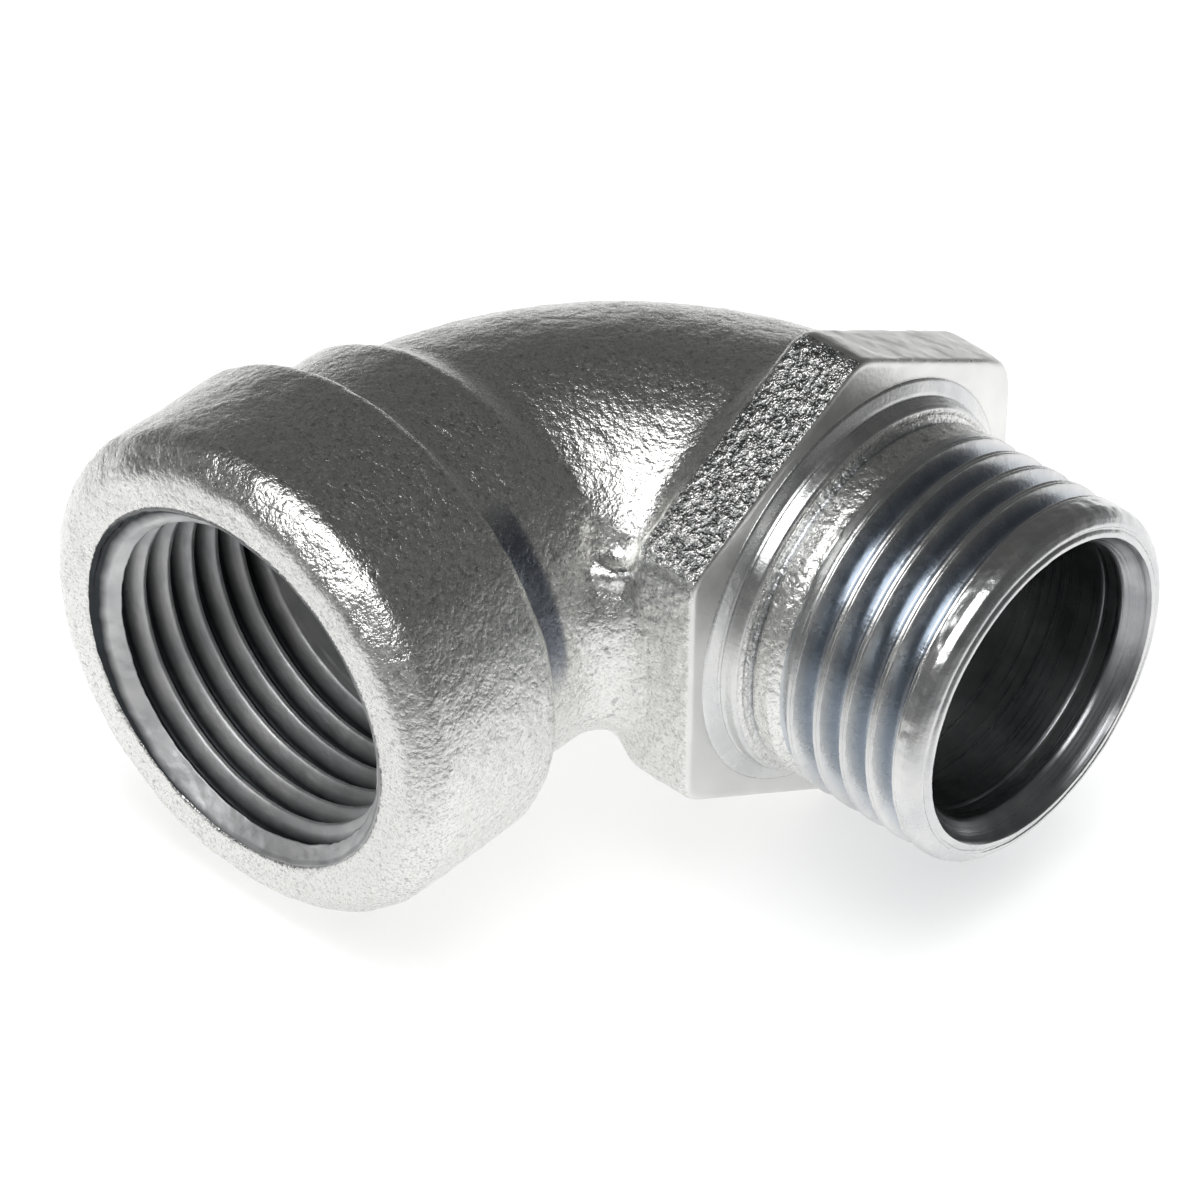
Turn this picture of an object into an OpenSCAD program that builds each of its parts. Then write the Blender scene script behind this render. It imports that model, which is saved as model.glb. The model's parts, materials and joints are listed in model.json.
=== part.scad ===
// Cast-iron 90 degree street elbow for half-inch pipe and conduit.
// One port is a hexagon-shouldered male thread that points along +X, the other is a female socket
// that points along -Y, and +Z is normal to the plane of the two ports.
// The origin is where the male axis crosses the machined front face of the hexagon.

/* [Pipe thread] */
// Major diameter of both threads (half-inch parallel pipe thread)
thread_d = 20.955; // [20.9:0.005:21]
// Distance from one thread crest to the next (14 threads per inch)
thread_pitch = 1.814; // [1.7:0.002:1.9]
// Radial height of the thread form
thread_depth = 1.162; // [1.1:0.002:1.2]

/* [Elbow] */
// Distance from the socket's axis to the front face of the hexagon
centre_to_seat = 17.9; // [17.5:0.1:19]
// Distance from the male axis to the mouth of the socket
centre_to_mouth = 29.1; // [28.6:0.1:31]
// Radius of the bend's centre line
bend_r = 16; // [15:0.1:17]
// Outer diameter of the bend
tube_d = 23; // [22.6:0.1:23.2]
// Diameter of the open way through the elbow
way_d = 16.4; // [15.6:0.1:16.6]

/* [Socket] */
// Outer diameter of the thick band round the mouth
band_d = 28.8; // [28:0.1:29.6]
// Distance from the male axis to the back of the thick band
band_back = 19.1; // [18.6:0.1:19.6]
// Outer diameter of the flat mouth face
mouth_d = 25.5; // [24.5:0.1:26]
// Axial length of the slope from the band to the mouth face
lip_len = 1.85; // [1.2:0.05:2.4]
// Outer diameter of the step behind the thick band
shoulder_d = 25; // [24.4:0.1:25.6]
// Distance from the male axis to the back of the step
shoulder_back = 12.4; // [12.2:0.1:13]
// Diameter of the chamfer at the mouth of the internal thread
mouth_chamfer_d = 21.3; // [21.1:0.1:22]
// Number of full turns of the internal thread
socket_turns = 6; // [4:1:6]
// Distance from the male axis to the bottom of the tapped bore
bore_bottom = 15.8; // [15:0.1:16.2]

/* [Hexagon] */
// Distance across the flats of the hexagon
hex_af = 26; // [25.5:0.1:27]
// Thickness of the hexagon
hex_t = 4.5; // [4:0.1:5]
// Diameter at which the corners of the hexagon are rounded off
hex_round_d = 29.6; // [29:0.1:30]

/* [Male end] */
// Distance from the hexagon's front face to the end of the spigot
spigot_len = 13.4; // [13.3:0.1:14]
// Diameter where the fillet at the root of the collar starts
root_fillet_d = 24; // [23.6:0.1:24.6]
// Diameter of the machined step at the root of the collar
step_d = 22; // [21.8:0.1:22.4]
// Distance from the hexagon's front face to the end of the machined step
step_end = 1.4; // [1.3:0.05:1.6]
// Distance from the hexagon's front face to the start of the thread
collar_end = 3.5; // [3.3:0.1:3.7]
// Distance from the end of the spigot back to the end of the thread
nose_len = 1.7; // [1.6:0.05:1.9]
// Outer diameter of the end face of the spigot
nose_face_d = 18.9; // [18.6:0.1:19.2]
// Diameter of the countersink at the end face of the spigot
nose_sink_d = 17.9; // [17.4:0.1:18.2]
// Depth of the countersink
nose_sink_t = 1.35; // [1:0.05:1.4]

/* [Hidden] */
$fn = 96;
// steps round one turn of a thread ridge
turn_steps = 40;
// half widths of a ridge's crest, knee and foot, as parts of the pitch, and its least rise
crest_half = 0.08;
knee_half = 0.25;
foot_half = 0.44;
knee_rise = 0.4;
least_rise = 0.03;
// clearance by which a cut runs past the face that it opens
cut_past = 1;
major_r = thread_d / 2;
minor_r = major_r - thread_depth;
way_r = way_d / 2;
tube_r = tube_d / 2;
// radius of the socket's inner sleeve, which carries the internal thread
sleeve_wall = 1.1;
sleeve_r = major_r + sleeve_wall;
// radii of the rounded edge and of the hollow corner behind each step of the socket
edge_r = 1.2;
hollow_r = 0.8;
step_edge_r = 0.6;
// where round its axis each thread ridge starts
male_phase = 180;
female_phase = 240;
// plain land at the minor diameter between the mouth's chamfer and the internal thread
mouth_land = 0.3;
chamfer_t = mouth_chamfer_d / 2 - minor_r;
socket_thread_start = centre_to_mouth - chamfer_t - mouth_land;
socket_thread_end = socket_thread_start - socket_turns * thread_pitch;
// axial length of the cone from the tapped bore down to the open way
throat_t = 0.6;
// axial length of the slope from the machined step down to the collar
groove_slope_t = 0.5;
male_thread_end = spigot_len - nose_len;
nose_bevel_t = 0.9;
// how far the bevel's middle stands out from a straight cone, and where it lies along the bevel
nose_bulge = 0.15;
nose_bulge_at = 0.4;

// Points of an arc about [cx, cy], from angle a0 to angle a1
function arc(cx, cy, r, a0, a1, steps = 8) =
    [for (i = [0:steps]) let (a = a0 + (a1 - a0) * i / steps) [cx + r * cos(a), cy + r * sin(a)]];

// How far the ridge has risen at step i of n, so that a thread fades in and out over half a turn
function ridge_rise(i, n) = min(1, 2 * i / turn_steps, 2 * (n - i) / turn_steps);

// One section of a ridge: [radius, distance along the axis] points from foot to crest to foot
function ridge_section(foot_r, crest_r, rise) =
    let (tip_r = foot_r + (crest_r - foot_r) * max(least_rise, rise))
    let (knee_r = foot_r + (tip_r - foot_r) * knee_rise)
    [[foot_r, -foot_half], [knee_r, -knee_half], [tip_r, -crest_half],
     [tip_r, crest_half], [knee_r, knee_half], [foot_r, foot_half]];

// A right-handed helical ridge along +Z that fills the given length and starts at the given angle
module ridge(foot_r, crest_r, length, phase) {
    span = length - 2 * foot_half * thread_pitch;
    n = floor(span / thread_pitch * turn_steps);
    sections = [for (i = [0:n]) ridge_section(foot_r, crest_r, ridge_rise(i, n))];
    points = [for (i = [0:n]) for (p = sections[i])
        let (a = 360 * i / turn_steps, z = (foot_half + i / turn_steps + p[1]) * thread_pitch)
        [p[0] * cos(a), p[0] * sin(a), z]];
    k = 6;
    sides = [for (i = [0:n - 1]) for (j = [0:k - 1]) let (m = (j + 1) % k)
        [i * k + j, i * k + m, (i + 1) * k + m, (i + 1) * k + j]];
    start = [[for (j = [0:k - 1]) k - 1 - j]];
    end = [[for (j = [0:k - 1]) n * k + j]];
    outward = crest_r > foot_r;
    faces = [for (f = concat(sides, start, end)) outward ? [for (j = [len(f) - 1:-1:0]) f[j]] : f];
    rotate([0, 0, phase]) polyhedron(points, faces, convexity = 10);
}

// Places a shape drawn along +Z on the male axis, pointing out of the spigot
module on_male_axis() {
    rotate([0, 90, 0]) children();
}

// Places a shape drawn along +Z from the male axis on the socket's axis, pointing out of the mouth
module on_socket_axis() {
    translate([-centre_to_seat, 0, 0]) rotate([90, 0, 0]) children();
}

// Thick band round the mouth, with the sleeve that carries the internal thread
module female_socket() {
    band_r = band_d / 2;
    color("gainsboro")
    on_socket_axis()
    rotate_extrude()
    polygon(concat(
        [[way_r, shoulder_back], [sleeve_r, shoulder_back], [sleeve_r, band_back - hollow_r]],
        [[shoulder_d / 2, band_back - hollow_r]],
        arc(shoulder_d / 2 + hollow_r, band_back - hollow_r, hollow_r, 180, 90, 5),
        arc(band_r - edge_r, band_back + edge_r, edge_r, -80, 0),
        [[band_r, centre_to_mouth - lip_len], [mouth_d / 2, centre_to_mouth]],
        [[mouth_chamfer_d / 2, centre_to_mouth], [minor_r, centre_to_mouth - chamfer_t]],
        [[minor_r, socket_thread_start], [major_r, socket_thread_start]],
        [[major_r, socket_thread_end], [minor_r, socket_thread_end]],
        [[minor_r, bore_bottom], [way_r, bore_bottom - throat_t]]
    ));
}

// Narrower step between the thick band and the bend
module socket_shoulder() {
    step_r = shoulder_d / 2;
    color("silver")
    on_socket_axis()
    rotate_extrude()
    polygon(concat(
        [[sleeve_r, shoulder_back]],
        arc(step_r - step_edge_r, shoulder_back + step_edge_r, step_edge_r, -90, 0),
        [[step_r, band_back - hollow_r], [sleeve_r, band_back - hollow_r]]
    ));
}

// Hollow quarter bend, cut off square at the step and at the back of the hexagon
module elbow_bend() {
    reach = 2 * bend_r;
    color("darkgray")
    intersection() {
        translate([bend_r - centre_to_seat, -bend_r, 0])
        rotate([0, 0, 90])
        rotate_extrude(angle = 90)
        translate([bend_r, 0])
        difference() {
            circle(tube_r);
            circle(way_r);
        }
        translate([-hex_t - 2 * reach, -shoulder_back, -reach])
        cube([2 * reach, 2 * reach, 2 * reach]);
    }
}

// Hexagon that a wrench holds, with its corners slightly rounded
module hex_flange() {
    color("lightgray")
    translate([-hex_t, 0, 0])
    on_male_axis()
    difference() {
        intersection() {
            cylinder(d = hex_af / cos(30), h = hex_t, $fn = 6);
            cylinder(d = hex_round_d, h = hex_t);
        }
        translate([0, 0, -cut_past]) cylinder(r = way_r, h = hex_t + 2 * cut_past);
    }
}

// Plain collar between the hexagon and the external thread, with a machined step at its root
module neck_collar() {
    step_r = step_d / 2;
    root_r = root_fillet_d / 2 - step_r;
    color("silver")
    on_male_axis()
    rotate_extrude()
    polygon(concat(
        [[way_r, 0]],
        arc(step_r + root_r, root_r, root_r, 270, 180, 6),
        [[step_r, step_end], [major_r, step_end + groove_slope_t]],
        [[major_r, collar_end], [way_r, collar_end]]
    ));
}

// Tube that carries the external thread
module male_shank() {
    color("lightsteelblue")
    on_male_axis()
    translate([0, 0, collar_end])
    difference() {
        cylinder(r = minor_r, h = male_thread_end - collar_end);
        translate([0, 0, -cut_past]) cylinder(r = way_r, h = male_thread_end - collar_end + 2 * cut_past);
    }
}

// Plain rounded nose at the end of the spigot, with its countersunk rim
module nose_ring() {
    face_r = nose_face_d / 2;
    color("silver")
    on_male_axis()
    rotate_extrude()
    polygon([
        [way_r, male_thread_end],
        [major_r, male_thread_end],
        [major_r, spigot_len - nose_bevel_t],
        [(major_r + face_r) / 2 + nose_bulge, spigot_len - nose_bulge_at * nose_bevel_t],
        [face_r, spigot_len],
        [nose_sink_d / 2, spigot_len],
        [way_r, spigot_len - nose_sink_t]
    ]);
}

// Ridge of the external thread, from the collar to the nose
module male_thread() {
    color("lightsteelblue")
    on_male_axis()
    translate([0, 0, collar_end])
    ridge(minor_r / cos(180 / turn_steps), major_r, male_thread_end - collar_end, male_phase);
}

// Ridge of the internal thread, between the two plain lands of the socket
module female_thread() {
    color("slategray")
    on_socket_axis()
    translate([0, 0, socket_thread_end])
    ridge(major_r, minor_r / cos(180 / turn_steps), socket_thread_start - socket_thread_end, female_phase);
}

female_socket();
socket_shoulder();
elbow_bend();
hex_flange();
neck_collar();
male_shank();
nose_ring();
male_thread();
female_thread();
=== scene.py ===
"""Zinc-plated cast-iron street elbow on a pale floor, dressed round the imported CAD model.

Shapes are worked out in millimetres in the CAD's own frame and written to the meshes in metres.
The male axis runs along +X, the socket's axis along -Y, and s is the distance from the male axis
along the socket's axis. A field is negative inside the metal and gives a distance in millimetres.
"""
import itertools
import json
import math

import bpy
import numpy as np
import openvdb
from mathutils import Matrix, Vector


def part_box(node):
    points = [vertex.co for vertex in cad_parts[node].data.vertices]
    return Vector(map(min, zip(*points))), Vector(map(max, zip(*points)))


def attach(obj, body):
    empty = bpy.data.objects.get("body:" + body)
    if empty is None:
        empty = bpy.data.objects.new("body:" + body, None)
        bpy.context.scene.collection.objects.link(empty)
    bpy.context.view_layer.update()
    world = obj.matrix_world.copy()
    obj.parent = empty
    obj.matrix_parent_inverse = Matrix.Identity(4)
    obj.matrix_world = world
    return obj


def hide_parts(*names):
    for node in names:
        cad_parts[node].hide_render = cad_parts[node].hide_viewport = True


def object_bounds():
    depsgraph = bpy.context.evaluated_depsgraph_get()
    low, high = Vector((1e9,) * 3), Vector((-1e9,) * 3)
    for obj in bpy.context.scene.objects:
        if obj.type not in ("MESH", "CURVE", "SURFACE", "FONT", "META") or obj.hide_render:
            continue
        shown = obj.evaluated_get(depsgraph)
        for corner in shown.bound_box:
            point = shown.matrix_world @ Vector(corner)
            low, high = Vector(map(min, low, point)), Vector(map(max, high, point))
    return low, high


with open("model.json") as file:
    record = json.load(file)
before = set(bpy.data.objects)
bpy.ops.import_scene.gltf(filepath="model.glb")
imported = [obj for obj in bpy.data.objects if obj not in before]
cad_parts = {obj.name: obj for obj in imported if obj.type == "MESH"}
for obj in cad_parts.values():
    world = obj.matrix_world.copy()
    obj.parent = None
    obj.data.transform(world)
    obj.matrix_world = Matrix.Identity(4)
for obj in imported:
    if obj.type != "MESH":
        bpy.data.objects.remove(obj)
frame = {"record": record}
cad_box = [list(corner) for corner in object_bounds()]

MM = 0.001


# ---------------------------------------------------------------------------
# Sizes, in millimetres, from the CAD model's boxes and mounts
# ---------------------------------------------------------------------------

def span(node):
    """The lowest and highest corners of a CAD node, in millimetres."""
    low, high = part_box(node)
    return np.array(low) / MM, np.array(high) / MM


def mount_radius(name):
    """The radius of one of the record's mounts, in millimetres."""
    mounts = {m["name"]: m for m in frame["record"]["mounts"]}
    return mounts[name]["dims"]["r_mm"]


SOCKET_LOW, SOCKET_HIGH = span("female_socket")
SHOULDER_HIGH = span("socket_shoulder")[1]
HEX_LOW, HEX_HIGH = span("hex_flange")
NOSE_START = span("nose_ring")[0][0]
TIP = span("nose_ring")[1][0]

SOCKET_X = (SOCKET_LOW[0] + SOCKET_HIGH[0]) / 2
BAND_R = SOCKET_HIGH[2]
MOUTH = -SOCKET_LOW[1]
THREAD_BACK = -span("female_thread")[1][1]
SHOULDER_R = SHOULDER_HIGH[2]
# the photograph shows the shoulder's back edge a little nearer the mouth than the CAD model has it
SHOULDER_BACK = -SHOULDER_HIGH[1] + 0.8
TUBE_R = span("elbow_bend")[1][2]
BEND_R = 16.0
WAY_R = mount_radius("raceway_bore")

HEX_BACK = HEX_LOW[0]
HEX_FLAT = HEX_HIGH[1]
HEX_CORNER_R = HEX_HIGH[2]

THREAD_R = mount_radius("male_thread")
ROOT_R = mount_radius("female_thread")
PITCH = 1.814
ROOT_FILLET_R = span("neck_collar")[1][2]

# the thick band and its lip
BAND_BACK = 19.1
LIP_LEN = 1.45
MOUTH_FACE_R = 12.85
CHAMFER_R = 10.68
# the sleeve that carries the internal thread sits in a pocket of the casting
POCKET_R = 10.72
POCKET_BACK = THREAD_BACK - 0.6
THROAT = 15.4
# the foot of the spigot sits in a pocket of the hexagon
FOOT_DEPTH = 0.5
FOOT_R = ROOT_FILLET_R - 0.2
# the upright line in the inner corner of the bend, where the two ends come close
CORNER_X, CORNER_Y = -5.2, -13.0
# marks that the mould left, each with its ends and its radius: hollows and a raised spot
DENTS = [((-8.6, -13.2, 9.6), (-6.9, -12.9, 7.6), 0.55),
         ((-6.6, -12.6, 7.0), (-6.0, -12.4, 6.3), 0.95),
         ((-18.1, -4.8, 11.4), (-16.1, -3.4, 11.6), 0.25)]
BUMPS = [((-6.1, -13.1, 5.0), (-5.5, -12.9, 5.0), 0.45)]


# ---------------------------------------------------------------------------
# Number helpers
# ---------------------------------------------------------------------------

def smooth_max(a, b, k):
    """The larger of two fields, with the edge between them rounded over about k."""
    near = np.clip(k - np.abs(a - b), 0, None) / k
    return np.maximum(a, b) + near * near * k / 4


def smooth_min(a, b, k):
    """The smaller of two fields, with the corner between them filled over about k."""
    return -smooth_max(-a, -b, k)


def ramp(value, start, end):
    """0 before start and 1 after end, with a smooth rise between them."""
    t = np.clip((value - start) / (end - start), 0, 1)
    return t * t * (3 - 2 * t)


NOISE_SIDE = 32


def noise(points, cell, seed):
    """Smooth random values from -1 to 1 that change over about one cell."""
    table = np.random.default_rng(seed).random((NOISE_SIDE,) * 3) * 2 - 1
    place = points / cell
    base = np.floor(place).astype(np.int64)
    part = place - base
    part = part * part * (3 - 2 * part)
    total = np.zeros(len(points))
    for corner in itertools.product((0, 1), repeat=3):
        weight = np.prod(np.where(corner, part, 1 - part), axis=1)
        index = (base + corner) % NOISE_SIDE
        total += weight * table[index[:, 0], index[:, 1], index[:, 2]]
    return total


# ---------------------------------------------------------------------------
# The casting's shape
# ---------------------------------------------------------------------------

def bent_tube(x, y, z, radius):
    """A tube along the male axis, round the bend and out along the socket's axis."""
    to_bend_x = x - (SOCKET_X + BEND_R)
    to_bend_y = y + BEND_R
    round_bend = np.hypot(np.hypot(to_bend_x, to_bend_y) - BEND_R, z)
    along_socket = np.hypot(x - SOCKET_X, z)
    along_male = np.hypot(y, z)
    centre = np.where(to_bend_y < 0, along_socket, np.where(to_bend_x > 0, along_male, round_bend))
    return centre - radius


def band(from_axis, s):
    """The thick band round the mouth, with a sloping lip and a fillet down to the shoulder."""
    lip_run = BAND_R - MOUTH_FACE_R
    slope = math.hypot(lip_run, LIP_LEN)
    lip = ((from_axis - BAND_R) * LIP_LEN + (s - (MOUTH - LIP_LEN)) * lip_run) / slope
    side = smooth_max(from_axis - BAND_R, lip, 0.5)
    side = smooth_max(side, s - MOUTH, 0.4)
    # the cut ends the band inside the shoulder
    side = np.maximum(side, SHOULDER_BACK + 0.7 - s)
    back = smooth_min(BAND_BACK - s, from_axis - SHOULDER_R, 1.8)
    return smooth_max(side, back, 0.9)


def shoulder(from_axis, s, tube, fillet):
    """The narrower step behind the band, with a fillet down to the tube."""
    back = smooth_min(SHOULDER_BACK - s, tube, fillet)
    return smooth_max(np.maximum(from_axis - SHOULDER_R, s - MOUTH + 2), back, 0.6)


def hexagon(x, y, z, back):
    """The wrench hexagon in front of a back face, with a corner on top and one worn front corner."""
    lean = math.cos(math.radians(30))
    flats = np.abs(y) - HEX_FLAT
    for side in (lean, -lean):
        flats = smooth_max(flats, np.abs(y / 2 + side * z) - HEX_FLAT, 0.5)
    flats = smooth_max(flats, np.hypot(y, z) - HEX_CORNER_R, 0.4)
    worn_way, worn_reach = (0.55, 0.76, 0.44), 12.85
    reach = (worn_way[0] * x + worn_way[1] * y + worn_way[2] * z) / math.hypot(*worn_way)
    flats = smooth_max(flats, reach - worn_reach, 1.6)
    return smooth_max(smooth_max(flats, x, 0.3), back, 1.0)


def hollow(x, y, z, from_axis, s):
    """The open way, the socket's bore and the pockets that the threaded pieces sit in."""
    way = bent_tube(x, y, z, WAY_R)
    bore = np.maximum(from_axis - ROOT_R, THROAT - s)
    pocket = np.maximum(from_axis - POCKET_R, POCKET_BACK - s)
    foot = np.maximum(np.hypot(y, z) - FOOT_R, -FOOT_DEPTH - x)
    space = smooth_min(way, bore, 0.8)
    return np.minimum(np.minimum(space, pocket), foot)


def capsule(points, start, end):
    """The distance from the line between two places."""
    start, end = np.array(start), np.array(end)
    along = np.clip((points - start) @ (end - start) / ((end - start) @ (end - start)), 0, 1)
    return np.linalg.norm(points - start - along[..., None] * (end - start), axis=-1)


def casting_field(points):
    """The whole casting: band, shoulder, bend and hexagon in one skin, with its hollow."""
    x, y, z = points[..., 0], points[..., 1], points[..., 2]
    s = -y
    from_axis = np.hypot(x - SOCKET_X, z)
    tube = np.maximum(bent_tube(x, y, z, TUBE_R), np.maximum(x + 1, s - MOUTH + 3))
    # the fillets are small on top and wide below
    below = ramp(-z, -7.5, -2.0)
    fillet = 2.2 + 2.6 * below
    socket = np.minimum(band(from_axis, s), shoulder(from_axis, s, tube, fillet))
    wrench = hexagon(x, y, z, smooth_min(HEX_BACK - x, tube, fillet))
    # both ends add metal to the tube, and the two amounts blend where the ends come close
    solid = tube - np.hypot(np.maximum(tube - socket, 0), np.maximum(tube - wrench, 0))
    # lower down they run into one web
    near = 1 - ramp(np.hypot(x - CORNER_X, y - CORNER_Y), 3.0, 6.0)
    web = 3.5 * near * below * (1 - ramp(-z, 3.5, 8.5))
    solid = np.minimum(solid, smooth_min(socket, wrench, web + 0.01))
    for start, end, size in DENTS:
        solid = smooth_max(solid, size - capsule(points, start, end), 0.4)
    for start, end, size in BUMPS:
        solid = smooth_min(solid, capsule(points, start, end) - size, 0.5)
    return smooth_max(solid, -hollow(x, y, z, from_axis, s), 0.2)


def slope_of(field, points, step=0.01):
    """The field's gradient at each point."""
    slopes = []
    for axis in np.eye(3) * step:
        slopes.append((field(points + axis) - field(points - axis)) / (2 * step))
    return np.stack(slopes, axis=1)


def skin(field, low, high, voxel):
    """Points on a field's surface, quads between them, and the outward direction at each point."""
    counts = np.ceil((high - low) / voxel).astype(int) + 1
    axes = [low[i] + voxel * np.arange(counts[i]) for i in range(3)]
    values = np.empty(counts, np.float32)
    for i, x in enumerate(axes[0]):
        layer = np.stack(np.meshgrid([x], axes[1], axes[2], indexing="ij"), axis=-1)
        values[i] = field(layer)[0]
    reach = 3 * voxel
    grid = openvdb.FloatGrid(reach)
    grid.copyFromArray(np.clip(values, -reach, reach))
    points, quads = grid.convertToQuads(0.0)
    points = points.astype(float) * voxel + low
    for _ in range(3):
        slope = slope_of(field, points)
        points -= slope * (field(points) / np.clip((slope**2).sum(1), 0.3, None))[:, None]
    slope = slope_of(field, points)
    return points, quads[:, ::-1], slope / np.linalg.norm(slope, axis=1, keepdims=True)


# ---------------------------------------------------------------------------
# Meshes
# ---------------------------------------------------------------------------

def add_piece(name, points, quads, materials, material_index, painted_shade):
    """A closed, smooth-shaded mesh of quads from points in millimetres, with a painted shade value at each
    point that darkens its colour.
    """
    mesh = bpy.data.meshes.new(name)
    mesh.vertices.add(len(points))
    mesh.vertices.foreach_set("co", (points * MM).astype(np.float32).ravel())
    mesh.loops.add(quads.size)
    mesh.loops.foreach_set("vertex_index", quads.astype(np.int32).ravel())
    mesh.polygons.add(len(quads))
    mesh.polygons.foreach_set("loop_start", np.arange(0, quads.size, 4, dtype=np.int32))
    for material in materials:
        mesh.materials.append(material)
    mesh.polygons.foreach_set("material_index", material_index.astype(np.int32))
    mesh.polygons.foreach_set("use_smooth", np.ones(len(quads), bool))
    mesh.attributes.new("painted_shade", "FLOAT", "POINT").data.foreach_set("value", painted_shade.astype(np.float32))
    mesh.update(calc_edges=True)
    mesh.validate()
    piece = bpy.data.objects.new(name, mesh)
    bpy.context.scene.collection.objects.link(piece)
    return piece


def ring_quads(rings, steps):
    """Quads between rings of points, where the last ring joins the first."""
    ring, step = np.meshgrid(np.arange(rings), np.arange(steps), indexing="ij")
    next_ring = (ring + 1) % rings
    next_step = (step + 1) % steps
    corners = [ring * steps + step, ring * steps + next_step,
               next_ring * steps + next_step, next_ring * steps + step]
    return np.stack(corners, axis=-1).reshape(-1, 4)


def spaced(outline, gap):
    """An outline of (along, radius) corners with points no more than gap apart."""
    points = []
    for start, end in zip(outline, outline[1:]):
        count = max(1, math.ceil(math.dist(start, end) / gap))
        for i in range(count):
            t = i / count
            points.append((start[0] + (end[0] - start[0]) * t, start[1] + (end[1] - start[1]) * t))
    points.append(outline[-1])
    return points


def groove_shape(turns):
    """0 on a thread's crest and 1 at the bottom of its valley, from a place given in turns."""
    half_crest = 0.085
    away = np.abs(turns - np.round(turns))
    valley = np.clip((away - half_crest) / (0.5 - half_crest), 0, 1)
    lip = np.exp(-((away - half_crest) / 0.03) ** 2) * 0.03
    line = np.exp(-(away / 0.03) ** 2) * 0.04
    return np.sin(valley * math.pi / 2) ** 1.15 - lip + line


# ---------------------------------------------------------------------------
# Materials
# ---------------------------------------------------------------------------

class Nodes:
    """A short way to build a node material."""

    def __init__(self, name):
        self.material = bpy.data.materials.new(name)
        self.material.use_nodes = True
        self.tree = self.material.node_tree
        self.shader = self.tree.nodes["Principled BSDF"]
        self.place = self.tree.nodes.new("ShaderNodeTexCoord").outputs["Object"]

    def add(self, kind, inputs=None, **settings):
        """A node with its settings and inputs; an input is a number or another node's output."""
        node = self.tree.nodes.new(kind)
        for key, value in settings.items():
            setattr(node, key, value)
        for key, value in (inputs or {}).items():
            if isinstance(value, bpy.types.NodeSocket):
                self.tree.links.new(value, node.inputs[key])
            else:
                node.inputs[key].default_value = value
        return node

    def stretched(self, scale):
        """The object's coordinates, stretched along each axis."""
        return self.add("ShaderNodeMapping", {"Vector": self.place, "Scale": scale}).outputs[0]

    def speckle(self, cells_per_m, detail=2.0, rough=0.5, vector=None):
        """A noise texture's value."""
        inputs = {"Vector": vector or self.place, "Scale": cells_per_m, "Detail": detail,
                  "Roughness": rough}
        return self.add("ShaderNodeTexNoise", inputs).outputs["Fac"]

    def between(self, value, low, high, start=0.3, end=0.7):
        """The value's stretch from start to end, mapped to low..high."""
        inputs = {"Value": value, "From Min": start, "From Max": end, "To Min": low, "To Max": high}
        return self.add("ShaderNodeMapRange", inputs).outputs[0]

    def mixed(self, value, dark, light):
        """A colour between two others; each is a triple or another node's output."""
        mix = self.add("ShaderNodeMix", {"Factor": value}, data_type="RGBA")
        for socket, colour in ((mix.inputs[6], dark), (mix.inputs[7], light)):
            if isinstance(colour, bpy.types.NodeSocket):
                self.tree.links.new(colour, socket)
            else:
                socket.default_value = (*colour, 1)
        return mix.outputs[2]

    def with_painted_shade(self, colour, shade_colour, start, end):
        """A colour that turns to a darker one where the painted shade value is high: painted shade in
        recesses.
        """
        painted_shade = self.add("ShaderNodeAttribute", attribute_name="painted_shade").outputs["Fac"]
        return self.mixed(self.between(painted_shade, 0, 1, start, end), colour, shade_colour)

    def bump(self, height, depth_mm, below=None):
        """The surface direction after a relief of that depth."""
        inputs = {"Height": height, "Distance": depth_mm * MM, "Strength": 1.0}
        if below is not None:
            inputs["Normal"] = below
        return self.add("ShaderNodeBump", inputs).outputs["Normal"]

    def finish(self, colour, roughness, normal):
        """Links the metal's colour, roughness and relief."""
        self.shader.inputs["Metallic"].default_value = 1.0
        for key, socket in (("Base Color", colour), ("Roughness", roughness), ("Normal", normal)):
            self.tree.links.new(socket, self.shader.inputs[key])
        return self.material


def cast_zinc():
    """Bright zinc over a sand-cast skin: fine grit, soft pits and a cloudy tone, with painted shade in its
    creases.
    """
    n = Nodes("cast_zinc")
    cloud = n.between(n.speckle(260, 3), 0, 1)
    grit = n.speckle(2600, 3, 0.6)
    fine = n.speckle(6500, 2)
    grain = n.mixed(n.between(fine, 0, 1, 0.34, 0.48), (0.50, 0.50, 0.49), (0.84, 0.84, 0.82))
    pores = n.between(n.speckle(2300, 3, 0.7), 0, 1, 0.34, 0.41)
    colour = n.mixed(n.between(cloud, 0.1, 0.6, 0, 1), grain, (0.78, 0.78, 0.76))
    colour = n.mixed(pores, (0.50, 0.50, 0.50), colour)
    # painted shade: darker where the painted shade value is high
    colour = n.with_painted_shade(colour, (0.22, 0.24, 0.28), 0.5, 1.0)
    roughness = n.between(grit, 0.22, 0.34)
    normal = n.bump(fine, 0.018, n.bump(grit, 0.11))
    return n.finish(colour, roughness, normal)


def gritty_shaded_zinc():
    """The upper front wrench flat, which keeps a coarse sparkling sand texture, in a darker tone that is
    painted shade.
    """
    n = Nodes("gritty_shaded_zinc")
    grit = n.speckle(2300, 3, 0.6)
    fine = n.speckle(5200, 2)
    # painted shade: a darker zinc than on the rest of the casting, speckled by the real grit
    colour = n.mixed(n.between(grit, 0, 1, 0.4, 0.6), (0.28, 0.29, 0.29), (0.76, 0.76, 0.75))
    roughness = n.between(fine, 0.10, 0.18)
    normal = n.bump(fine, 0.05, n.bump(grit, 0.32))
    return n.finish(colour, roughness, normal)


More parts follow.
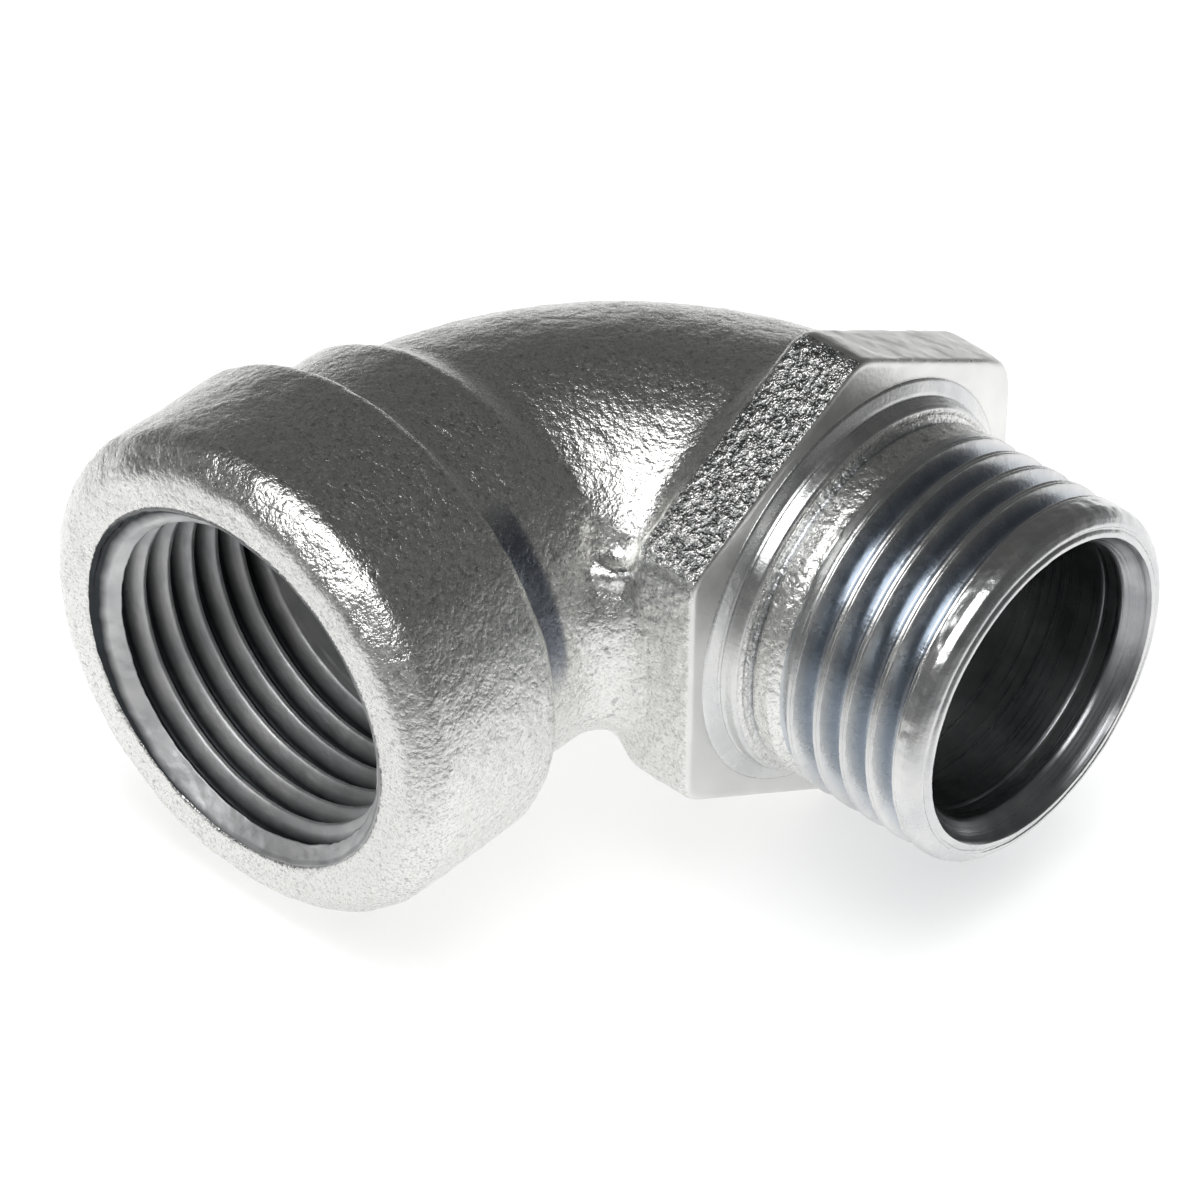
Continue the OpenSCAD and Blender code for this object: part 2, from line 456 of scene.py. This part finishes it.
def machined_zinc():
    """Smooth zinc over a cut face with faint stains, and a cold painted shade in its valleys that leaves
    its edges paler.
    """
    n = Nodes("machined_zinc")
    cloud = n.between(n.speckle(330, 3), 0, 1)
    grain = n.speckle(4200, 3)
    colour = n.mixed(cloud, (0.60, 0.61, 0.62), (0.74, 0.74, 0.73))
    # painted shade: cold and darker in the thread's valleys and in the collar's groove
    colour = n.with_painted_shade(colour, (0.42, 0.46, 0.51), 0.1, 0.7)
    roughness = n.between(n.speckle(900, 3), 0.20, 0.31)
    normal = n.bump(grain, 0.012)
    return n.finish(colour, roughness, normal)


def faced_and_lit_zinc():
    """Even, pale zinc over the machined front of the hexagon, and as painted light over its upper back
    flat.
    """
    n = Nodes("faced_and_lit_zinc")
    cloud = n.between(n.speckle(300, 3), 0, 1)
    # painted light where it covers the upper back flat, which is cast like the other flats
    colour = n.mixed(cloud, (0.74, 0.74, 0.73), (0.82, 0.82, 0.80))
    roughness = n.between(n.speckle(1200, 3), 0.30, 0.40)
    normal = n.bump(n.speckle(4200, 3), 0.014)
    return n.finish(colour, roughness, normal)


def tapped_zinc():
    """Dull zinc over the tapped thread, with painted shade that darkens the bottom of its valleys."""
    n = Nodes("tapped_zinc")
    cloud = n.between(n.speckle(380, 3), 0, 1)
    grain = n.speckle(3600, 3)
    colour = n.mixed(cloud, (0.52, 0.53, 0.54), (0.70, 0.70, 0.70))
    # painted shade: near black at the bottom of the valleys and along the mouth's edge
    colour = n.with_painted_shade(colour, (0.05, 0.055, 0.06), 0.36, 0.84)
    roughness = n.between(n.speckle(1100, 3), 0.48, 0.60)
    normal = n.bump(grain, 0.02)
    return n.finish(colour, roughness, normal)


def turned_zinc():
    """Dull zinc in the bore of the spigot, with fine rings round its axis."""
    n = Nodes("turned_zinc")
    rings_per_m, streaks_per_m = 8000, 45
    rings = n.speckle(1.0, 3, 0.6, n.stretched((rings_per_m, streaks_per_m, streaks_per_m)))
    cloud = n.between(n.speckle(420, 3), 0, 1)
    colour = n.mixed(cloud, (0.30, 0.31, 0.32), (0.46, 0.47, 0.48))
    roughness = n.between(rings, 0.24, 0.36)
    normal = n.bump(n.speckle(3600, 2), 0.006, n.bump(rings, 0.018))
    return n.finish(colour, roughness, normal)


# ---------------------------------------------------------------------------
# Pieces
# ---------------------------------------------------------------------------

def build_casting(cast, gritty_shaded, faced_or_lit):
    """Band, shoulder, bend and hexagon as one cast skin."""
    voxel = 0.19
    low = np.array([SOCKET_LOW[0], SOCKET_LOW[1], HEX_LOW[2]]) - 4 * voxel
    high = np.array([0, HEX_HIGH[1], HEX_HIGH[2]]) + 4 * voxel
    points, quads, outward = skin(casting_field, low, high, voxel)
    points += outward * casting_relief(points, outward)[:, None]
    kind = casting_kind(points[quads].mean(axis=1), outward[quads].mean(axis=1))
    # painted shade in creases: a place lifted off the skin is nearer to metal than its lift where the skin
    # is creased, and that darkens its colour
    lift = 0.9
    crease_shade = 1 - np.clip(casting_field(points + outward * lift) / lift, 0, 1)
    # painted shade: the darker of the crease shade and the shade behind the band
    painted_shade = np.maximum(crease_shade, painted_shade_behind_band(points))
    return add_piece("casting", points, quads, [cast, gritty_shaded, faced_or_lit], kind, painted_shade)


def casting_relief(points, outward):
    """How far each point stands out of the smooth shape, as the sand mould left it."""
    s = -points[:, 1]
    from_axis = np.hypot(points[:, 0] - SOCKET_X, points[:, 2])
    from_male = np.hypot(points[:, 1], points[:, 2])
    relief = 0.050 * noise(points, 2.6, 1) + 0.030 * noise(points, 1.2, 2)
    relief += 0.022 * noise(points, 0.6, 3)
    flat = (from_male > HEX_FLAT - 0.6) & (points[:, 0] > HEX_BACK + 0.4) & (points[:, 0] < -0.3)
    flat &= (from_axis > BAND_R) & (outward[:, 1] < 0.2)
    relief += np.where(flat, 0.045 * noise(points, 0.5, 4), 0)
    throat = ramp(s, 14.0, 14.8) * (1 - ramp(s, 16.4, 17.0)) * (from_axis < POCKET_R - 0.3)
    relief += throat * 0.22 * np.clip(noise(points, 0.9, 5) + 0.2, 0, 1)
    front_face = ramp(points[:, 0], -0.5, -0.15)
    mouth_face = ramp(s, MOUTH - 0.5, MOUTH - 0.1)
    relief *= (1 - front_face) * (1 - 0.3 * mouth_face)
    relief += 0.06 * ramp(s, MOUTH - 2.6, MOUTH - 1.8) * noise(points, 1.7, 6)
    # the pockets stay true, so that the threaded pieces fit
    pocket = (from_axis < POCKET_R + 0.2) & (s > POCKET_BACK - 0.3)
    foot = (from_male < FOOT_R + 0.2) & (points[:, 0] > -FOOT_DEPTH - 0.3)
    relief[pocket | foot] = 0
    return relief


def casting_kind(middle, facing):
    """The material of each face: 0 cast, 1 the upper front flat of coarse grit in a darker painted shade, 2
    the machined front, and the upper back flat in its paler zinc as painted light.
    """
    reach = np.hypot(middle[:, 1], middle[:, 2])
    on_front = (middle[:, 0] > -0.25) & (facing[:, 0] > 0.6)
    on_flat = (reach > HEX_FLAT - 0.5) & (middle[:, 0] > HEX_BACK + 0.5) & ~on_front
    on_flat &= (np.abs(facing[:, 0]) < 0.5) & (facing[:, 2] > 0.5)
    # painted light and shade: of the two upper flats, the back one takes the pale zinc of the front face
    # and the front one the darker grit zinc
    on_upper_back = on_flat & (facing[:, 1] > 0)
    return np.where(on_front | on_upper_back, 2, np.where(on_flat, 1, 0))


def painted_shade_behind_band(points):
    """Painted shade: 1 in the corner behind the band, on the side that looks at the hexagon, where the
    colour is darkened.
    """
    behind = BAND_BACK + points[:, 1]
    from_axis = np.hypot(points[:, 0] - SOCKET_X, points[:, 2])
    # painted shade, strongest next to the band's back and fading towards the shoulder
    corner = (1 - ramp(behind, 2.3, 3.3)) * (behind > -0.5)
    corner *= 1 - ramp(from_axis, SHOULDER_R + 0.5, SHOULDER_R + 0.9)
    return corner * ramp(points[:, 0] - SOCKET_X, 5.5, 9.5) * ramp(points[:, 2], -4.0, 3.0)


def spigot_outline():
    """The spigot's section as (x, radius) points from its bore round to its foot, and each one's zone."""
    thread_step = 0.04
    bore = [(TIP - 2.62, WAY_R), (TIP - 2.58, WAY_R + 0.03), (TIP - 2.52, WAY_R + 0.03),
            (TIP - 2.48, WAY_R), (TIP - 1.35, WAY_R), (TIP - 0.5, 8.84), (TIP - 0.08, 9.02)]
    rim = [(TIP, 9.09), (TIP - 0.01, 9.30), (TIP - 0.08, 9.40), (TIP - 0.19, 9.50), (TIP - 0.18, 9.58),
           (TIP - 0.09, 9.68), (TIP - 0.12, 9.82), (TIP - 0.30, 10.08), (TIP - 0.55, 10.32),
           (TIP - 0.8, 10.43)]
    thread = [(TIP - 1.0, THREAD_R), (3.7, THREAD_R)]
    neck = [(3.5, 10.42), (2.6, 10.38), (2.15, 10.36), (1.95, 10.20), (1.72, 10.02), (1.55, 10.06),
            (1.42, 10.30), (1.36, 10.70)]
    root = [(1.28, 10.86), (1.15, 10.94), (0.75, 11.0), (0.62, 11.04), (0.52, 11.12), (0.44, 11.10),
            (0.40, 11.16), (0.36, 11.30), (0.10, 11.90), (0.03, 11.96)]
    foot = [(0.0, ROOT_FILLET_R), (-FOOT_DEPTH - 0.1, ROOT_FILLET_R)]
    outline, zones = [(-FOOT_DEPTH - 0.1, WAY_R)], ["bore"]
    for zone, corners, gap in (("bore", bore, 0.25), ("rim", rim, 0.09), ("thread", thread, thread_step),
                               ("neck", neck, 0.08), ("root", root, 0.08), ("root", foot, 0.3)):
        part = spaced(outline[-1:] + corners, gap)[1:]
        outline += part
        zones += [zone] * len(part)
    return np.array(outline), np.array(zones)


def sweep_angles(outline):
    """For each point of each ring: its place along the axis, its turn from -0.5 to 0.5 and its radius."""
    steps = 400
    turns = np.linspace(-0.5, 0.5, steps, endpoint=False)
    along, turn = np.meshgrid(outline[:, 0], turns, indexing="ij")
    return along, turn, np.repeat(outline[:, 1:], steps, axis=1)


def build_spigot(cast, machined, bored):
    """Neck, external thread and nose as one closed ring of sections."""
    outline, zones = spigot_outline()
    along, turn, radius = sweep_angles(outline)
    first_crest = 4.26
    place = (along - first_crest) / PITCH - turn
    wound = np.floor(place) + turn
    depth = ramp(wound, -1.1, -0.35) * (1 - ramp(wound, 3.2, 3.95))
    groove = depth * groove_shape(place)
    in_thread = ((zones == "thread") | (zones == "neck"))[:, None]
    cut_r = THREAD_R - (THREAD_R - ROOT_R) * groove
    radius = np.where(in_thread, np.minimum(radius, cut_r), radius)
    # turn 0 is at the top, and a positive turn goes towards the socket's mouth
    y = -np.sin(turn * 2 * math.pi)
    z = np.cos(turn * 2 * math.pi)
    points = np.stack([along, radius * y, radius * z], axis=-1).reshape(-1, 3)
    outward = np.stack([np.zeros_like(y), y, z], axis=-1).reshape(-1, 3)
    steps = along.shape[1]
    near_nose = ramp(outline[:, 0], NOSE_START - 0.1, NOSE_START + 0.2) * (zones == "thread")
    rough = np.select([zones == "neck", zones == "rim", zones == "thread"], [0.6, 0.35, 0.12], 0.05)
    rough = np.repeat(np.maximum(rough, 0.5 * near_nose), steps)
    relief = 0.06 * noise(points, 1.5, 11) + 0.05 * noise(points, 0.6, 12) + 0.03 * noise(points, 0.3, 13)
    points += outward * (relief * rough)[:, None]
    kind = np.select([zones == "bore", zones == "neck"], [2, 0], 1)
    # painted shade in the thread's valleys and in a broad band over the groove by the collar
    collar_groove_shade = 0.8 * np.exp(-((along - 1.72) / 0.42) ** 2) * (zones == "neck")[:, None]
    painted_shade = np.maximum(np.where(in_thread, groove, 0).clip(0, 1), collar_groove_shade)
    return add_piece("spigot", points, ring_quads(len(outline), steps),
                     [cast, machined, bored], np.repeat(kind, steps), painted_shade.ravel())


def build_socket_thread(tapped):
    """The internal thread, its chamfer and its run-out as one closed ring of sections."""
    step = 0.06
    back = POCKET_BACK - 0.25
    chamfer_len = 0.9 * (CHAMFER_R - ROOT_R)
    inner = [(MOUTH - 0.02, CHAMFER_R + 0.02), (MOUTH - 0.06, CHAMFER_R - 0.05),
             (MOUTH - chamfer_len, ROOT_R), (back, ROOT_R)]
    outer = [(back, POCKET_R + 0.15), (MOUTH - 0.3, POCKET_R + 0.15)]
    outline = np.array(spaced(inner, step) + spaced(outer, 0.4))
    along, turn, radius = sweep_angles(outline)
    first_crest = 27.62
    place = (along - first_crest) / PITCH + turn
    away = np.abs(place - np.round(place)) * 2
    valley = np.clip((away - 0.1) / 0.8, 0, 1)
    valley = 0.6 * valley + 0.4 * (0.5 - 0.5 * np.cos(np.pi * valley))
    groove = valley * ramp(along, THREAD_BACK + 0.4, THREAD_BACK + 1.4)
    cut_r = np.minimum(ROOT_R + (THREAD_R - ROOT_R) * groove, CHAMFER_R)
    inside = (along > back + 0.2) & (radius < CHAMFER_R + 0.05)
    radius = np.where(inside, np.maximum(radius, cut_r), radius)
    x = np.sin(turn * 2 * math.pi)
    z = np.cos(turn * 2 * math.pi)
    points = np.stack([SOCKET_X + radius * x, -along, radius * z], axis=-1).reshape(-1, 3)
    outward = np.stack([x, np.zeros_like(x), z], axis=-1).reshape(-1, 3)
    relief = 0.02 * noise(points, 1.4, 21) + 0.012 * noise(points, 0.5, 22)
    # the cutter tore the metal at both ends of the thread
    torn = np.maximum(ramp(along, MOUTH - 1.7, MOUTH - 1.0),
                      1 - ramp(along, THREAD_BACK - 0.1, THREAD_BACK + 1.2)).ravel()
    relief += torn * (0.05 * noise(points, 0.8, 23) + 0.04 * noise(points, 0.4, 24))
    points += outward * np.where(inside.ravel(), relief, 0)[:, None]
    quads = ring_quads(*along.shape)[:, ::-1]
    # painted shade: a dark band along the mouth's edge, and darker valleys where the thread is cut
    rim = 0.5 * ramp(along, MOUTH - 0.40, MOUTH - 0.15)
    painted_shade = np.where(inside, np.maximum(groove, rim), rim).ravel()
    return add_piece("socket_thread", points, quads, [tapped], np.zeros(len(quads)), painted_shade)


def build_object():
    """All the pieces, each riding on the one body and standing for its CAD nodes."""
    cast = cast_zinc()
    casting = build_casting(cast, gritty_shaded_zinc(), faced_and_lit_zinc())
    spigot = build_spigot(cast, machined_zinc(), turned_zinc())
    socket_thread = build_socket_thread(tapped_zinc())
    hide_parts("female_socket", "socket_shoulder", "elbow_bend", "hex_flange")
    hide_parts("neck_collar", "male_shank", "nose_ring", "male_thread")
    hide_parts("female_thread")
    pieces = [casting, spigot, socket_thread]
    for piece in pieces:
        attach(piece, "root")
    return pieces


# ---------------------------------------------------------------------------
# Floor, light and camera
# ---------------------------------------------------------------------------

def build_floor():
    """A pale floor that the elbow lies on."""
    half = 1.2
    level = cad_box[0][2]
    mesh = bpy.data.meshes.new("floor")
    corners = [(-half, -half, level), (half, -half, level), (half, half, level), (-half, half, level)]
    mesh.from_pydata(corners, [], [(0, 1, 2, 3)])
    floor = bpy.data.objects.new("floor", mesh)
    bpy.context.scene.collection.objects.link(floor)
    n = Nodes("pale_floor")
    # painted pool of light: the metal mirrors a floor colour that is pale near the elbow and fades to dark
    # with distance, as the light would in a small light tent open at the front, while the camera sees an
    # even pale grey
    bright, dim, seen_grey = 0.90, 0.22, 0.92
    fade_start, fade_end = 0.115, 0.20
    middle = box_centre() + Vector((-0.05, 0.0866, 0))
    away = n.add("ShaderNodeVectorMath", {0: n.place, 1: (middle.x, middle.y, level)}, operation="DISTANCE")
    fade = n.between(away.outputs["Value"], 0, 1, fade_start, fade_end)
    painted_pool = n.mixed(fade, (bright,) * 3, (dim,) * 3)
    seen = n.add("ShaderNodeLightPath").outputs["Is Camera Ray"]
    n.tree.links.new(n.mixed(seen, painted_pool, (seen_grey,) * 3), n.shader.inputs["Base Color"])
    n.shader.inputs["Roughness"].default_value = 0.9
    mesh.materials.append(n.material)
    return floor


def add_softbox(name, azimuth, elevation, distance, size, watts):
    """A square lamp that faces the elbow; azimuth is from -Y towards +X, in degrees."""
    lamp = bpy.data.lights.new(name, "AREA")
    lamp.shape = "RECTANGLE"
    lamp.size, lamp.size_y = size
    lamp.energy = watts
    holder = bpy.data.objects.new(name, lamp)
    turn = Matrix.Rotation(math.radians(azimuth), 4, "Z")
    tilt = Matrix.Rotation(math.radians(90 - elevation), 4, "X")
    aim = box_centre()
    holder.visible_camera = False
    holder.matrix_world = Matrix.Translation(aim) @ turn @ tilt @ Matrix.Translation((0, 0, distance))
    bpy.context.scene.collection.objects.link(holder)
    return holder


def light_only(lamp, targets, shaded=True):
    """The lamp lights only its targets; where shaded is false, nothing else shades them either."""
    for role in ("receiver",) if shaded else ("receiver", "blocker"):
        group = bpy.data.collections.new(f"{lamp.name}_{role}")
        for target in targets:
            group.objects.link(target)
        setattr(lamp.light_linking, f"{role}_collection", group)


def box_centre():
    """The middle of the CAD model's box, in metres."""
    return (Vector(cad_box[0]) + Vector(cad_box[1])) / 2


def build_world():
    """A dim studio for the metal to reflect, and a pale backdrop behind the floor."""
    world = bpy.data.worlds.new("studio")
    bpy.context.scene.world = world
    world.use_nodes = True
    nodes, links = world.node_tree.nodes, world.node_tree.links
    direction = nodes.new("ShaderNodeTexCoord").outputs["Generated"]
    height = nodes.new("ShaderNodeSeparateXYZ")
    links.new(direction, height.inputs[0])
    shade = nodes.new("ShaderNodeValToRGB")
    stops = [(0.0, 0.36), (0.06, 0.24), (0.16, 0.14), (0.35, 0.11), (0.9, 0.08)]
    while len(shade.color_ramp.elements) < len(stops):
        shade.color_ramp.elements.new(0.5)
    for element, (place, grey) in zip(shade.color_ramp.elements, stops):
        element.position = place
        element.color = (grey, grey, grey, 1)
    links.new(height.outputs["Z"], shade.inputs["Fac"])
    backdrop = nodes.new("ShaderNodeMix")
    backdrop.data_type = "RGBA"
    backdrop.inputs["B"].default_value = (0.9, 0.9, 0.9, 1)
    links.new(nodes.new("ShaderNodeLightPath").outputs["Is Camera Ray"], backdrop.inputs["Factor"])
    links.new(shade.outputs["Color"], backdrop.inputs["A"])
    links.new(backdrop.outputs["Result"], nodes["Background"].inputs["Color"])


def build_camera():
    """A long lens at the viewing angle of the photograph."""
    azimuth, elevation, roll = 41.66, 40.30, 0.99
    distance = 0.3611
    aim_right, aim_up = -0.00105, -0.00146
    camera = bpy.data.cameras.new("camera")
    camera.lens = 201.8
    camera.sensor_width = 36
    camera.clip_start = 0.01
    camera.clip_end = 10
    holder = bpy.data.objects.new("camera", camera)
    turn = Matrix.Rotation(math.radians(azimuth), 4, "Z")
    tilt = Matrix.Rotation(math.radians(90 - elevation), 4, "X")
    spin = Matrix.Rotation(math.radians(roll), 4, "Z")
    back = Matrix.Translation((aim_right, aim_up, distance))
    holder.matrix_world = Matrix.Translation(box_centre()) @ turn @ tilt @ spin @ back
    bpy.context.scene.collection.objects.link(holder)
    bpy.context.scene.camera = holder


pieces = build_object()
floor = build_floor()
build_world()
key = add_softbox("key", azimuth=12, elevation=55.5, distance=0.30, size=(0.26, 0.20), watts=0.66)
light_only(key, pieces)
wash = add_softbox("floor_wash", azimuth=0, elevation=90, distance=0.45, size=(0.9, 0.9), watts=5.0)
light_only(wash, [floor], shaded=False)
overhead = add_softbox("overhead", azimuth=0, elevation=90, distance=0.35, size=(0.3, 0.3), watts=0.3)
light_only(overhead, [floor])
build_camera()
bpy.context.scene.view_settings.view_transform = "Standard"
